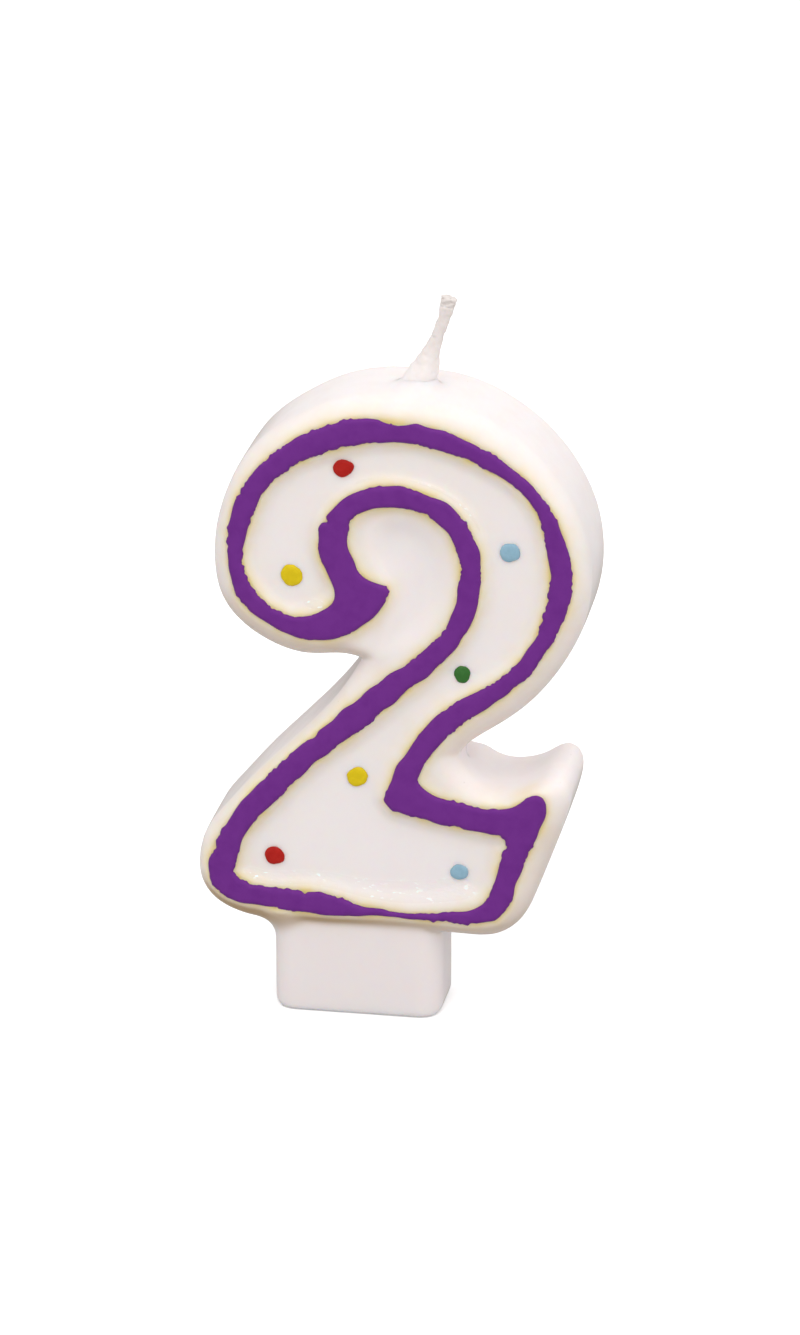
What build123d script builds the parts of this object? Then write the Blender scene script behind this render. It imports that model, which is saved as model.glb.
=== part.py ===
from build123d import *
import os

# Number birthday candle: a cast wax numeral 2 on a foot that is pushed into a cake.
# Millimetres. +Z is up, the decorated face looks along -Y, and the origin is the centre
# of the foot's flat underside.

# Depths, from the flat back to the top of the coloured bead
BACK_Y = 7.5            # back face of the numeral
BEAD_TOP_Y = -6.5       # highest point of the coloured bead
RIM_TOP_Y = -6.0        # top of the raised rim cast in the wax, under the bead
SHOULDER_Y = -5.5       # border between the rim and the wall
FLOOR_Y = -5.0          # sunken face inside the rim, where the drops sit
WEB_Y = -4.3            # thin wax web that closes the counter of the numeral
SHOULDER_RADIUS = 1.2
BACK_RADIUS = 1.0

# Foot
FOOT_WIDTH = 19.4
FOOT_DEPTH = 10.6
FOOT_TOP = 13.0         # inside the numeral, so that the two are one casting
FOOT_CORNER_LEFT = 1.4
FOOT_CORNER_RIGHT = 2.3
FOOT_EDGE_RADIUS = 1.5

# Wick
WICK_DIAMETER = 1.3
WICK_BOTTOM = 4.0       # the wick stops short of the foot's underside
WICK_X = 6.7            # the buried wick runs straight down at this place
WICK_KNEE = 75.0        # height at which it starts to lean
WICK_TIP = (9.9, 85.8)
WICK_BEND_RADIUS = 12.0
COAT_WALL = 0.15
COAT_START = 0.45       # shares of the leaning stretch, knee to tip
COAT_END = 0.92
COLLAR_FOOT_Z = 73.4    # inside the numeral's top, which trims it
COLLAR_RINGS = ((6.1, COLLAR_FOOT_Z, 2.6), (7.05, 77.4, 1.5), (8.05, 80.2, 0.9))

# Drops of coloured wax: centre X, centre Z, width, height
DROP_DOME = 0.35
DROPS = {
    "dot_red_upper": (-1.4, 66.6, 2.4, 2.2),
    "dot_yellow_upper": (-7.3, 53.4, 2.5, 2.7),
    "dot_blue_upper": (17.6, 57.6, 2.5, 2.2),
    "dot_green": (12.2, 42.6, 2.0, 2.0),
    "dot_yellow_lower": (0.1, 29.3, 2.5, 2.4),
    "dot_red_lower": (-9.5, 18.9, 2.3, 2.2),
    "dot_blue_lower": (12.0, 18.3, 2.1, 1.9),
}

# Outlines on the front face, as runs of (X, Z) points. A run of two points is straight,
# and any longer run is one smooth curve. Each run starts where the last one ends.
NUMERAL = (
    # under the hook, round it, over the crown and down to the inside of the crook
    ((0.6, 43.6), (-2.0, 44.0), (-5.8, 43.8), (-9.8, 44.9), (-13.2, 47.1), (-15.6, 50.3),
     (-16.4, 54.9), (-16.1, 58.9), (-14.9, 63.1), (-12.6, 67.4), (-9.2, 70.7), (-6.1, 72.7),
     (-2.7, 74.3), (1.5, 75.2), (6.5, 75.3), (11.4, 74.6), (15.6, 72.8), (19.8, 69.8),
     (23.2, 66.0), (25.5, 61.8), (26.7, 57.2), (26.8, 52.8), (25.8, 48.4), (23.5, 43.8),
     (19.7, 39.1), (15.9, 36.1), (13.2, 34.2), (11.8, 32.6)),
    # over the base bar to its raised tip, and down its right side
    ((11.8, 32.6), (12.7, 30.6), (15.0, 29.0), (18.4, 28.9), (20.8, 29.9), (22.5, 30.7),
     (23.8, 30.5), (24.7, 29.2), (24.7, 27.3), (23.4, 23.0), (21.9, 18.9), (20.6, 15.5),
     (19.4, 13.1), (17.5, 11.3), (14.6, 10.5)),
    # underside, where the foot joins
    ((14.6, 10.5), (-11.0, 10.8)),
    # round the left corner and up the diagonal to the hook
    ((-11.0, 10.8), (-14.1, 11.5), (-16.7, 13.0), (-18.3, 15.5), (-18.5, 18.0), (-17.6, 21.4),
     (-15.3, 24.5), (-12.9, 27.4), (-9.7, 30.9), (-5.5, 35.2), (-2.3, 38.9), (-0.8, 41.1),
     (0.6, 43.6)),
)
RIM_OUTSIDE = (
    # hook tip, round the hook, over the crown and down into the crook
    ((4.2, 52.7), (2.7, 49.9), (-0.6, 47.2), (-4.4, 46.3), (-9.1, 47.6), (-12.7, 50.2),
     (-14.2, 54.1), (-14.4, 58.5), (-13.3, 62.9), (-10.3, 67.2), (-5.9, 70.7), (-1.2, 72.7),
     (4.2, 73.2), (9.5, 72.4), (15.1, 70.3), (20.0, 66.7), (23.2, 62.4), (24.8, 57.5),
     (24.9, 53.0), (23.2, 48.6), (20.3, 43.8), (15.5, 39.4), (10.9, 35.6), (8.6, 32.6),
     (7.5, 30.0)),
    # along the top of the base bar to its tip
    ((7.5, 30.0), (8.2, 28.8), (11.4, 27.7), (14.9, 27.1), (18.1, 27.3), (20.0, 28.6),
     (21.4, 29.0), (22.3, 28.1)),
    ((22.3, 28.1), (22.2, 26.4), (20.4, 22.2), (18.9, 17.6), (17.8, 14.8), (16.5, 13.2)),
    # underside, left corner and the outside of the diagonal up to the counter
    ((16.5, 13.2), (14.5, 12.7), (10.8, 12.6), (4.0, 12.8), (-5.4, 12.6), (-10.9, 13.1),
     (-14.5, 13.8), (-16.4, 15.4), (-17.0, 17.6), (-16.2, 20.5), (-13.4, 25.3), (-9.0, 30.4),
     (-4.0, 35.2), (0.7, 39.7), (4.6, 43.0), (8.2, 45.9), (10.5, 48.7), (12.0, 52.9),
     (12.2, 56.8), (10.5, 60.4), (7.5, 62.5), (4.2, 62.8), (1.2, 62.1), (-0.4, 60.3),
     (-0.5, 57.6), (0.6, 55.0), (3.9, 53.4)),
    ((3.9, 53.4), (4.2, 52.7)),
)
RIM_INSIDE = (
    # up the right of the diagonal, over the crown and round the hook
    ((3.6, 27.3), (4.9, 31.1), (7.1, 34.9), (10.1, 38.5), (14.9, 41.7), (18.7, 44.8),
     (21.2, 49.1), (22.4, 54.3), (22.0, 59.8), (19.8, 64.8), (14.9, 68.1), (9.4, 70.1),
     (4.5, 70.6), (-0.8, 69.7), (-5.5, 67.8), (-9.6, 64.6), (-11.8, 60.0), (-12.7, 56.2),
     (-11.9, 52.9), (-9.7, 50.2), (-6.6, 49.0), (-3.7, 49.8), (-2.1, 51.8), (-3.3, 55.0),
     (-3.9, 58.8), (-2.6, 61.9), (0.4, 64.4), (4.3, 65.4), (7.9, 64.8), (11.4, 63.1),
     (14.1, 59.1), (14.7, 54.9), (13.6, 49.7), (11.4, 45.9), (7.0, 41.4), (0.0, 35.0),
     (-6.4, 29.4), (-10.4, 24.8), (-13.1, 21.2), (-13.7, 18.9), (-14.1, 17.2)),
    # base bar
    ((-14.1, 17.2), (-11.3, 15.6), (-5.0, 15.4), (0.0, 14.3), (6.4, 13.5), (11.9, 14.0),
     (15.1, 15.3), (16.0, 16.7), (16.7, 19.5), (17.9, 22.6)),
    ((17.9, 22.6), (17.1, 23.8)),
    ((17.1, 23.8), (11.4, 24.6), (4.6, 26.0)),
    ((4.6, 26.0), (3.6, 27.3)),
)
WEB = (
    # the sunken web inside the hook, one closed curve that ends at the crease
    ((3.4, 46.0), (4.6, 49.5), (4.7, 51.8), (4.0, 53.9), (2.6, 56.4), (2.0, 58.8),
     (3.0, 60.8), (5.4, 61.5), (8.2, 60.6), (10.1, 58.2), (10.8, 55.0), (10.3, 51.4),
     (8.6, 48.6), (6.0, 46.6), (3.4, 46.0)),
)

os.makedirs("parts", exist_ok=True)


def outline_face(runs):
    """A flat face, X to the right and Z up, inside the closed line of runs."""
    edges = []
    for run in runs:
        edges.append(Line(*run) if len(run) == 2 else Spline(*run))
    return make_face(edges)


def slab(face, back_y, front_y):
    """A face pulled forward from back_y to front_y."""
    return extrude(Plane.XZ.offset(-back_y) * face, amount=back_y - front_y)


def edges_at(solid, y):
    """The edges that lie wholly in the plane of depth y."""
    return [e for e in solid.edges() if abs(e.bounding_box().min.Y - y) < 0.01
            and abs(e.bounding_box().max.Y - y) < 0.01]


def numeral_slab():
    """The numeral with rounded shoulders on its front and back."""
    block = slab(outline_face(NUMERAL), BACK_Y, SHOULDER_Y)
    block = fillet(edges_at(block, SHOULDER_Y), SHOULDER_RADIUS)
    return fillet(edges_at(block, BACK_Y), BACK_RADIUS)


def foot_block():
    """The plain block under the numeral, with unequal bottom corners as cast."""
    block = Pos(0, 0, FOOT_TOP / 2) * Box(FOOT_WIDTH, FOOT_DEPTH, FOOT_TOP)
    bottom_corners = block.edges().filter_by(Axis.Y).group_by(Axis.Z)[0].sort_by(Axis.X)
    block = fillet(bottom_corners[1], FOOT_CORNER_RIGHT)
    bottom_corners = block.edges().filter_by(Axis.Y).group_by(Axis.Z)[0].sort_by(Axis.X)
    block = fillet(bottom_corners[0], FOOT_CORNER_LEFT)
    uprights = block.edges().filter_by(Axis.Z)
    return fillet(uprights, FOOT_EDGE_RADIUS)


def wick_line():
    """The wick's centre line: straight down inside the wax, leaning above it."""
    knee = (WICK_X, 0, WICK_KNEE)
    tip = (WICK_TIP[0], 0, WICK_TIP[1])
    return FilletPolyline((WICK_X, 0, WICK_BOTTOM), knee, tip, radius=WICK_BEND_RADIUS)


def make_wick():
    profile = Pos(WICK_X, 0, WICK_BOTTOM) * Circle(WICK_DIAMETER / 2)
    return sweep(profile, path=wick_line())


def make_wax_body(wick):
    """One casting: numeral, raised rim, sunken faces and foot, bored for the wick."""
    rim = outline_face(RIM_OUTSIDE)
    field = outline_face(RIM_INSIDE)
    body = numeral_slab() + foot_block()
    body += slab(rim, FLOOR_Y, RIM_TOP_Y)
    body -= slab(field, FLOOR_Y, BEAD_TOP_Y)
    body -= slab(outline_face(WEB), WEB_Y, BEAD_TOP_Y)
    return body - wick


def make_bead():
    """The coloured wax line that fills the top of the rim."""
    line = outline_face(RIM_OUTSIDE) - outline_face(RIM_INSIDE)
    return slab(line, RIM_TOP_Y, BEAD_TOP_Y)


def make_drop(x, z, width, height):
    """One flat drop of coloured wax on the sunken face."""
    disc = Pos(x, z) * Ellipse(width / 2, height / 2)
    return slab(disc, FLOOR_Y, FLOOR_Y - DROP_DOME)


def leaning_point(share):
    """A point on the straight leaning stretch, as a share of knee to tip."""
    x = WICK_X + share * (WICK_TIP[0] - WICK_X)
    z = WICK_KNEE + share * (WICK_TIP[1] - WICK_KNEE)
    return Vector(x, 0, z)


def make_coat(wick, collar):
    """The thin skin of wax on the bare wick, from the collar to near the tip."""
    start, end = leaning_point(COAT_START), leaning_point(COAT_END)
    axis = end - start
    tube = Plane(origin=(start + end) / 2, z_dir=axis.normalized()) * Cylinder(
        WICK_DIAMETER / 2 + COAT_WALL, axis.length)
    return tube - collar - wick


def make_collar(body, wick):
    """The cone of wax drawn up round the root of the wick."""
    rings = [Pos(x, 0, z) * Circle(radius) for x, z, radius in COLLAR_RINGS]
    return loft(rings) - body - wick


wick = make_wick()
wax_body = make_wax_body(wick)
wick_collar = make_collar(wax_body, wick)
nodes = {
    "wax_body": wax_body,
    "outline_bead": make_bead(),
    "wick": wick,
    "wick_collar": wick_collar,
    "wick_wax_coat": make_coat(wick, wick_collar),
}
for name, place in DROPS.items():
    nodes[name] = make_drop(*place)

for name, shape in nodes.items():
    export_step(shape, f"parts/{name}.step")
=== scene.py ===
import math

import bpy
import numpy as np
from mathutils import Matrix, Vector, noise
from mathutils.geometry import delaunay_2d_cdt
from mathutils.kdtree import KDTree


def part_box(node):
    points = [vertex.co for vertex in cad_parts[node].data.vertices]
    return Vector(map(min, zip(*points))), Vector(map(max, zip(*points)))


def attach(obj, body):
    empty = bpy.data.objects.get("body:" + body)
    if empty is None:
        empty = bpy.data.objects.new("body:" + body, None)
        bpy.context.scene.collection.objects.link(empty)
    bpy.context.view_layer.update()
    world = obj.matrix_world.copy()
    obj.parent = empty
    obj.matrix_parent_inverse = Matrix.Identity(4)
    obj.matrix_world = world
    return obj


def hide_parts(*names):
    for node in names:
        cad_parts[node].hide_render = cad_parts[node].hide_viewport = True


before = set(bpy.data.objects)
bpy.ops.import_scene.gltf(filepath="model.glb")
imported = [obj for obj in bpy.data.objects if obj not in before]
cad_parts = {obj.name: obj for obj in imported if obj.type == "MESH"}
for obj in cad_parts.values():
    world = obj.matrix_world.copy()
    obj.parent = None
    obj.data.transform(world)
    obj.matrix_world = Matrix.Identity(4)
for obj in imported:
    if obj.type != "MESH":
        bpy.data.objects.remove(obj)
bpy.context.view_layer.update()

# The white wax casting. One pour of white paraffin in a soft mould: the numeral, the raised
# rim round its face, the sunken faces, the thin web in the counter and the foot are one
# piece. The mould and the shrinking wax leave every edge soft and each face a little uneven.
MM = 0.001
CAST_STEP = 0.33            # mm between the points that the cast surface is drawn through
LINE_STEP = 0.3             # mm between the points of the outlines read from the CAD
GRID_MARGIN = 1.5           # mm of room round the casting, and more over the crown
CROWN_ROOM = 2.0
RIM_Y = -6.0                # top of the raised rim, under the coloured bead
WEB_Y = -4.3                # flat face of the web in the CAD
FLOOR_DROP = 0.75           # sunken face inside the rim
FLOOR_SLOPE = 1.6           # width of the slope down to it
BASE_SLOPE_LEFT = 1.5       # the same slope along the underside of the base bar, wider
BASE_SLOPE_RIGHT = 3.6
BORDER_DROP = 0.25          # border outside the rim
BORDER_SLOPE = 1.3
WEB_DROP = 1.2              # web in the counter, below the border
WEB_SLOPE = 3.4
WEB_SOFTNESS = 0.8
FOLD_LINE = ((49.0, 4.0), (49.7, 4.3), (51.8, 4.7), (53.2, 4.3), (55.4, 3.0), (57.2, 2.0), (58.5, 1.4))
FOLD_DROP = 0.3             # small fold in the web past the hook's tip, along (Z, X) points
SHOULDER_SHARE = 0.85       # share of the border that the rounded shoulder takes
SHOULDER_WIDTH = (0.6, 2.4)
SHOULDER_DEPTH = 2.7
BACK_ROUND = 0.5
BACK_DISH = 0.35
BACK_EDGE = 1.0             # the flat of the CAD back stops this short of the wall
WALL_BELLY = 0.1
BAR_SAG = 0.15              # the top of the base bar sank a little towards the back
THROAT = (11.3, 30.6)       # X and Z of the throat between the crook and the base bar
THROAT_CUT = 2.0            # how much deeper the throat is at the back
FOOT_MIDDLE = 0.08
FOOT_HALF = (9.82, 5.3)
FOOT_HEIGHT = 13.0
FOOT_UPRIGHT_ROUND = 2.6
FOOT_BOTTOM_ROUND = (1.5, 1.1)
FOOT_EDGE_ROUND = 0.35
FOOT_JOIN = (2.8, 0.35)     # fillet under the base bar, left and right
ROOT = (6.3, 75.2)          # X and Z where the wick leaves the crown
ROOT_LEAN = 0.34            # mm across for each mm up
ROOT_RADIUS = 1.85          # the cone of wax at the wick's root, wider below, narrower above
ROOT_SPREAD = 1.1
ROOT_TAPER = 0.7
ROOT_SPAN = (74.8, 2.5)     # Z of its middle, half its height
RIDGE = (5.9, -2.2, 73.1)   # soft ridge in front of the cone
RIDGE_LEAN = 0.12
RIDGE_ROUND = 1.8
CROWN_SWELL = 1.6           # how softly both rise out of the crown
LUMPS = ((9.0, 0.05), (3.2, 0.016), (1.3, 0.006))   # size and height of the unevenness, mm


def smooth(t):
    """0 below 0, 1 above 1, and a soft S between."""
    t = np.clip(t, 0, 1)
    return t * t * (3 - 2 * t)


def face_outlines(node, depth):
    """Closed (X, Z) lines in mm round the flat face that a CAD node has at one depth."""
    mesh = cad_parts[node].data
    points = np.array([v.co for v in mesh.vertices]) / MM
    keys = [(round(x, 2), round(z, 2)) for x, _, z in points]
    flat = np.abs(points[:, 1] - depth) < 0.01
    uses = {}
    for face in mesh.polygons:
        if all(flat[i] for i in face.vertices):
            for a, b in face.edge_keys:
                edge = tuple(sorted((keys[a], keys[b])))
                uses[edge] = uses.get(edge, 0) + 1
    ways = {}
    for (a, b), count in uses.items():
        if count % 2 and a != b:
            ways.setdefault(a, []).append(b)
            ways.setdefault(b, []).append(a)
    outlines = []
    while ways:
        point = min(ways)
        line = []
        while point in ways:
            line.append(point)
            onward = [p for p in ways.pop(point) if p in ways]
            point = onward[0] if onward else None
        outlines.append(np.array(line))
    return sorted(outlines, key=lambda line: -np.ptp(line[:, 1]))


def even_line(line, step):
    """The same closed line with points an even step apart."""
    closed = np.vstack([line, line[:1]])
    along = np.concatenate([[0], np.cumsum(np.hypot(*np.diff(closed, axis=0).T))])
    stops = np.linspace(0, along[-1], int(along[-1] / step), endpoint=False)
    return np.column_stack([np.interp(stops, along, closed[:, i]) for i in (0, 1)])


def depth_inside(points, line):
    """Distance in mm from each point to a closed line, positive inside it."""
    tree = KDTree(len(line))
    for number, (u, v) in enumerate(line):
        tree.insert((u, v, 0), number)
    tree.balance()
    nearest = np.array([tree.find((u, v, 0))[1] for u, v in points])
    run = np.roll(line, -1, 0) - line
    square = (run ** 2).sum(1)
    gap = np.full(len(points), np.inf)
    for number in (nearest, nearest - 1):
        rel = points - line[number]
        share = np.clip((rel * run[number]).sum(1) / square[number], 0, 1)
        gap = np.minimum(gap, np.hypot(*(rel - share[:, None] * run[number]).T))
    lean = run[:, 0] / np.where(run[:, 1] == 0, 1e-9, run[:, 1])
    start = line[:, 0] - line[:, 1] * lean
    odd = []
    for part in np.array_split(points.astype(np.float32), len(points) // 4000 + 1):
        above = part[:, 1:] >= line[None, :, 1]
        crossing = above != np.roll(above, -1, 1)
        to_left = part[:, :1] < start + part[:, 1:] * lean
        odd.append((crossing & to_left).sum(1) % 2 == 1)
    return np.where(np.concatenate(odd), gap, -gap)


def cast_surface(field, low, step):
    """Points and quads of the surface where a 3-D field passes through zero."""
    solid = field < 0
    corner = [(i, j, k) for i in (0, 1) for j in (0, 1) for k in (0, 1)]
    size = tuple(n - 1 for n in field.shape)

    def shifted(grid, by):
        return grid[tuple(slice(b, b + n) for b, n in zip(by, size))]

    filled = sum(shifted(solid, by).astype(np.int8) for by in corner)
    cell = np.argwhere((filled > 0) & (filled < 8))
    total, hits = np.zeros((len(cell), 3)), np.zeros(len(cell))
    for by in corner:
        for axis in range(3):
            if by[axis]:
                continue
            end = list(by)
            end[axis] = 1
            f0, f1 = field[tuple((cell + by).T)], field[tuple((cell + end).T)]
            cut = (f0 < 0) != (f1 < 0)
            place = np.tile(np.array(by, float), (len(cell), 1))
            place[:, axis] = f0 / np.where(cut, f0 - f1, 1)
            total[cut] += place[cut]
            hits += cut
    points = low + step * (cell + total / hits[:, None])
    number = -np.ones(size, int)
    number[tuple(cell.T)] = np.arange(len(cell))
    quads = []
    for axis in range(3):
        one, two = (axis + 1) % 3, (axis + 2) % 3
        end = [0, 0, 0]
        end[axis] = 1
        inner = tuple(slice(0, n - b) for n, b in zip(field.shape, end))
        outer = tuple(slice(b, n) for n, b in zip(field.shape, end))
        edge = np.argwhere(solid[inner] != solid[outer])
        edge = edge[(edge[:, one] > 0) & (edge[:, two] > 0)]
        around = []
        for da, db in ((1, 1), (0, 1), (0, 0), (1, 0)):
            at = edge.copy()
            at[:, one] -= da
            at[:, two] -= db
            around.append(number[tuple(at.T)])
        quad = np.column_stack(around)
        leaving = solid[tuple(edge.T)]
        quads.append(np.where(leaving[:, None], quad, quad[:, ::-1]))
    return points, np.vstack(quads)


def relaxed(points, quads, rounds, share=0.5):
    """The points after each has moved towards the middle of its neighbours."""
    a, b = quads.ravel(), np.roll(quads, -1, 1).ravel()
    count = np.bincount(a, minlength=len(points)) + np.bincount(b, minlength=len(points))
    for _ in range(rounds):
        middle = np.empty_like(points)
        for i in range(3):
            middle[:, i] = (np.bincount(a, points[b, i], len(points))
                            + np.bincount(b, points[a, i], len(points))) / count
        points = points + share * (middle - points)
    return points


def new_piece(name, points, faces, body="root"):
    """A smooth-shaded mesh from points in mm, riding on a body."""
    mesh = bpy.data.meshes.new(name)
    mesh.from_pydata([tuple(p) for p in np.asarray(points) * MM], [],
                     [tuple(int(i) for i in face) for face in faces])
    mesh.update()
    mesh.shade_smooth()
    piece = bpy.data.objects.new(name, mesh)
    bpy.context.scene.collection.objects.link(piece)
    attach(piece, body)
    return piece


def unevenness(points, lumps, seed):
    """Height in mm of soft lumps at each point."""
    height = np.zeros(len(points))
    for number, (size, rise) in enumerate(lumps):
        shift = Vector((seed, number * 7.3, seed * 0.37))
        height += rise * np.array([noise.noise(Vector(p) / size + shift) for p in points])
    return height


def add_measure(piece, name, values):
    """A number at each point of a piece, for its material to read."""
    layer = piece.data.attributes.new(name, "FLOAT", "POINT")
    layer.data.foreach_set("value", np.asarray(values, np.float32))


bead_lines = face_outlines("outline_bead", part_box("outline_bead")[0].y / MM)
rim_outside, rim_inside = (even_line(line, LINE_STEP) for line in bead_lines[:2])
back_edge = even_line(face_outlines("wax_body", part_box("wax_body")[1].y / MM)[0], LINE_STEP)
web_edge = even_line(face_outlines("wax_body", WEB_Y)[0], LINE_STEP)

body_low, body_high = (np.array(corner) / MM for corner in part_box("wax_body"))
body_high[2] += CROWN_ROOM
grid_low = body_low - GRID_MARGIN
grid_shape = np.ceil((body_high + GRID_MARGIN - grid_low) / CAST_STEP).astype(int)
xs, ys, zs = (low + CAST_STEP * np.arange(n) for low, n in zip(grid_low, grid_shape))
face_x, face_z = np.meshgrid(xs, zs, indexing="ij")
face_points = np.column_stack([face_x.ravel(), face_z.ravel()])
wall, outside, inside, web = (
    depth_inside(face_points, line).reshape(face_x.shape)
    for line in (back_edge, rim_outside, rim_inside, web_edge))
wall += BACK_EDGE
border = np.clip(-outside, 0, None)


def spread_out(grid, reach):
    """A face grid blurred over a reach in mm."""
    steps = int(3 * reach / CAST_STEP) + 1
    share = np.exp(-0.5 * (np.arange(-steps, steps + 1) * CAST_STEP / reach) ** 2)
    share /= share.sum()
    for axis in (0, 1):
        grid = np.apply_along_axis(np.convolve, axis, grid, share, "same")
    return grid


def between(value, low, high, soft):
    """1 between two limits, 0 outside them, and soft at both."""
    return smooth((value - low) / soft) * smooth((high - value) / soft)


# The front of the numeral: how far back its face lies at each X and Z.
across = smooth((face_x + 13) / 27)
rising = np.clip(np.gradient(inside, CAST_STEP, axis=1), 0, 1) ** 2 * smooth((21 - face_z) / 3)
base_slope = BASE_SLOPE_LEFT + (BASE_SLOPE_RIGHT - BASE_SLOPE_LEFT) * across
floor_slope = FLOOR_SLOPE + (base_slope - FLOOR_SLOPE) * rising
front = RIM_Y + FLOOR_DROP * smooth(inside / floor_slope)
past_fold = face_x - np.interp(face_z, *np.transpose(FOLD_LINE))
fold = smooth((past_fold + 0.4) / 0.9) - smooth((past_fold + 3.0) / 7.0)
fold *= between(face_z, 49.2, 58.2, 2.0) * smooth((web + 1.0) / 1.5)
front += BORDER_DROP * smooth(border / BORDER_SLOPE)
front += WEB_DROP * spread_out(smooth((web + 1.0) / WEB_SLOPE), WEB_SOFTNESS)
front += FOLD_DROP * fold
shoulder = np.clip((border + wall) * SHOULDER_SHARE, *SHOULDER_WIDTH)
back_face = body_high[1] - BACK_DISH * smooth((wall - 1.5) / 4)

# The walls, the rounded shoulder in front and the small round at the back.
x, y, z = xs[:, None, None], ys[None, :, None], zs[None, None, :]
wall_here = wall[:, None, :] - WALL_BELLY * ((y + 1.5) / 8) ** 2
bar_top = between(x, 12, 23, 3) * between(z, 26, 33, 2)
wall_here = wall_here - BAR_SAG * bar_top * smooth((y - 0.5) / 4)
in_throat = np.exp(-((x - THROAT[0]) / 1.5) ** 2 - ((z - THROAT[1]) / 0.9) ** 2)
wall_here = wall_here - THROAT_CUT * in_throat * smooth((y + 2) / 8)
width, depth = shoulder[:, None, :], SHOULDER_DEPTH
front_u = np.clip((width - wall_here) / width, 0, None)
front_v = np.clip((depth - (y - front[:, None, :])) / depth, 0, None)
front_field = (np.hypot(front_u, front_v) - 1) * np.minimum(width, depth)
back_u = np.clip((BACK_ROUND - wall_here) / BACK_ROUND, 0, None)
back_v = np.clip((BACK_ROUND - (back_face[:, None, :] - y)) / BACK_ROUND, 0, None)
back_field = (np.hypot(back_u, back_v) - 1) * BACK_ROUND
numeral_field = np.maximum(front_field, back_field)


def rounded_box(u, v, half_u, half_v, radius):
    """Distance to a rectangle with round corners, centred on zero."""
    past_u, past_v = np.abs(u) - half_u + radius, np.abs(v) - half_v + radius
    out = np.hypot(np.clip(past_u, 0, None), np.clip(past_v, 0, None))
    return out + np.minimum(np.maximum(past_u, past_v), 0) - radius


def rounded_meet(first, second, radius):
    """Where two solids overlap, with the edge between their faces rounded."""
    edge = np.hypot(np.clip(first + radius, 0, None), np.clip(second + radius, 0, None)) - radius
    return np.where(edge > -radius, edge, np.maximum(first, second))


def soft_join(first, second, reach):
    """Two solids melted together over a reach."""
    meet = np.clip(reach - np.abs(first - second), 0, None) / reach
    return np.minimum(first, second) - meet ** 2 * reach / 4


# The foot, and the wax drawn up round the root of the wick, both melted into the numeral.
foot_plan = rounded_box(x - FOOT_MIDDLE, y, *FOOT_HALF, FOOT_UPRIGHT_ROUND)
foot_face = rounded_box(x, z - FOOT_HEIGHT / 2, FOOT_HALF[0] + 0.6, FOOT_HEIGHT / 2,
                        np.where(x < 0, *FOOT_BOTTOM_ROUND) + 0.6)
foot_field = rounded_meet(foot_plan, foot_face, FOOT_EDGE_ROUND)
join = FOOT_JOIN[0] + (FOOT_JOIN[1] - FOOT_JOIN[0]) * smooth((x + 10) / 5)
cast_field = soft_join(numeral_field, foot_field, join)
root_x = ROOT[0] + ROOT_LEAN * (z - ROOT[1])
root_radius = ROOT_RADIUS + ROOT_SPREAD * np.exp((74.9 - z) / 0.7) - ROOT_TAPER * smooth((z - 76.0) / 1.4)
root_cone = np.hypot(x - root_x, y) - np.clip(root_radius, 0, 2.9)
root_cone = np.maximum(root_cone, np.abs(z - ROOT_SPAN[0]) - ROOT_SPAN[1])
ridge_x, ridge_y, ridge_z = RIDGE
root_ridge = np.hypot(x - ridge_x - RIDGE_LEAN * y, np.clip(np.abs(y - ridge_y) - RIDGE_ROUND, 0, None))
root_ridge = np.hypot(root_ridge, z - ridge_z) - RIDGE_ROUND
for raised in (root_cone, root_ridge):
    cast_field = soft_join(cast_field, raised, CROWN_SWELL)

cast_points, cast_quads = cast_surface(cast_field, grid_low, CAST_STEP)
cast_points = relaxed(cast_points, cast_quads, 2)


def on_face(grid, points):
    """A face grid's value at each point, read between its four nearest values."""
    u = np.clip((points[:, 0] - xs[0]) / CAST_STEP, 0, len(xs) - 1.001)
    v = np.clip((points[:, 2] - zs[0]) / CAST_STEP, 0, len(zs) - 1.001)
    i, j = u.astype(int), v.astype(int)
    u, v = u - i, v - j
    return ((grid[i, j] * (1 - u) + grid[i + 1, j] * u) * (1 - v)
            + (grid[i, j + 1] * (1 - u) + grid[i + 1, j + 1] * u) * v)


def outward(points, faces):
    """Unit normals at the points of a closed mesh of quads."""
    a, b, c, d = (points[faces[:, i]] for i in range(4))
    face_normal = np.cross(c - a, d - b)
    result = np.zeros_like(points)
    for i in range(4):
        for axis in range(3):
            result[:, axis] += np.bincount(faces[:, i], face_normal[:, axis], len(points))
    return result / np.linalg.norm(result, axis=1, keepdims=True)


cast_normals = outward(cast_points, cast_quads)
cast_points += cast_normals * unevenness(cast_points, LUMPS, 3.1)[:, None]
cast_points[:, 2] = np.clip(cast_points[:, 2], 0, None)
wax_casting = new_piece("wax_casting", cast_points, cast_quads)

# Numbers at its points for the finish: how near the bead is, how much of its dye has crept in, what lies
# at the front, at the back rim (painted shade) or in a sunken face (painted light), and where the wax is
# glossy and gets painted glints.
DYE_SPREAD = ((0.95, 0.8), (0.5, 2.4))       # strength and reach in mm
DROP_SHIFT = (0.2, 0.34)    # the drops sit this far right and up of the CAD ones, mm
STAIN_REACH = 1.75
GLOSS_AND_GLINT_HOOK = (-4.5, 50.5)     # X and Z of the glossy spot with painted glints at the hook's end
at_x, at_y, at_z = cast_points.T
inside_here, border_here, web_here = (on_face(grid, cast_points) for grid in (inside, border, web))
at_front = 1 - smooth((at_y + 4.2) / 2.5)
beside_bead = np.clip(np.maximum(inside_here, border_here), 0, None)
under_bead = smooth((0.3 - np.maximum(inside, border)) / 0.6)
dye = on_face(sum(strength * spread_out(under_bead, reach) for strength, reach in DYE_SPREAD), cast_points)
hook_side = smooth((-12.5 - at_x) / 3) * smooth((at_z - 44) / 4)
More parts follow.
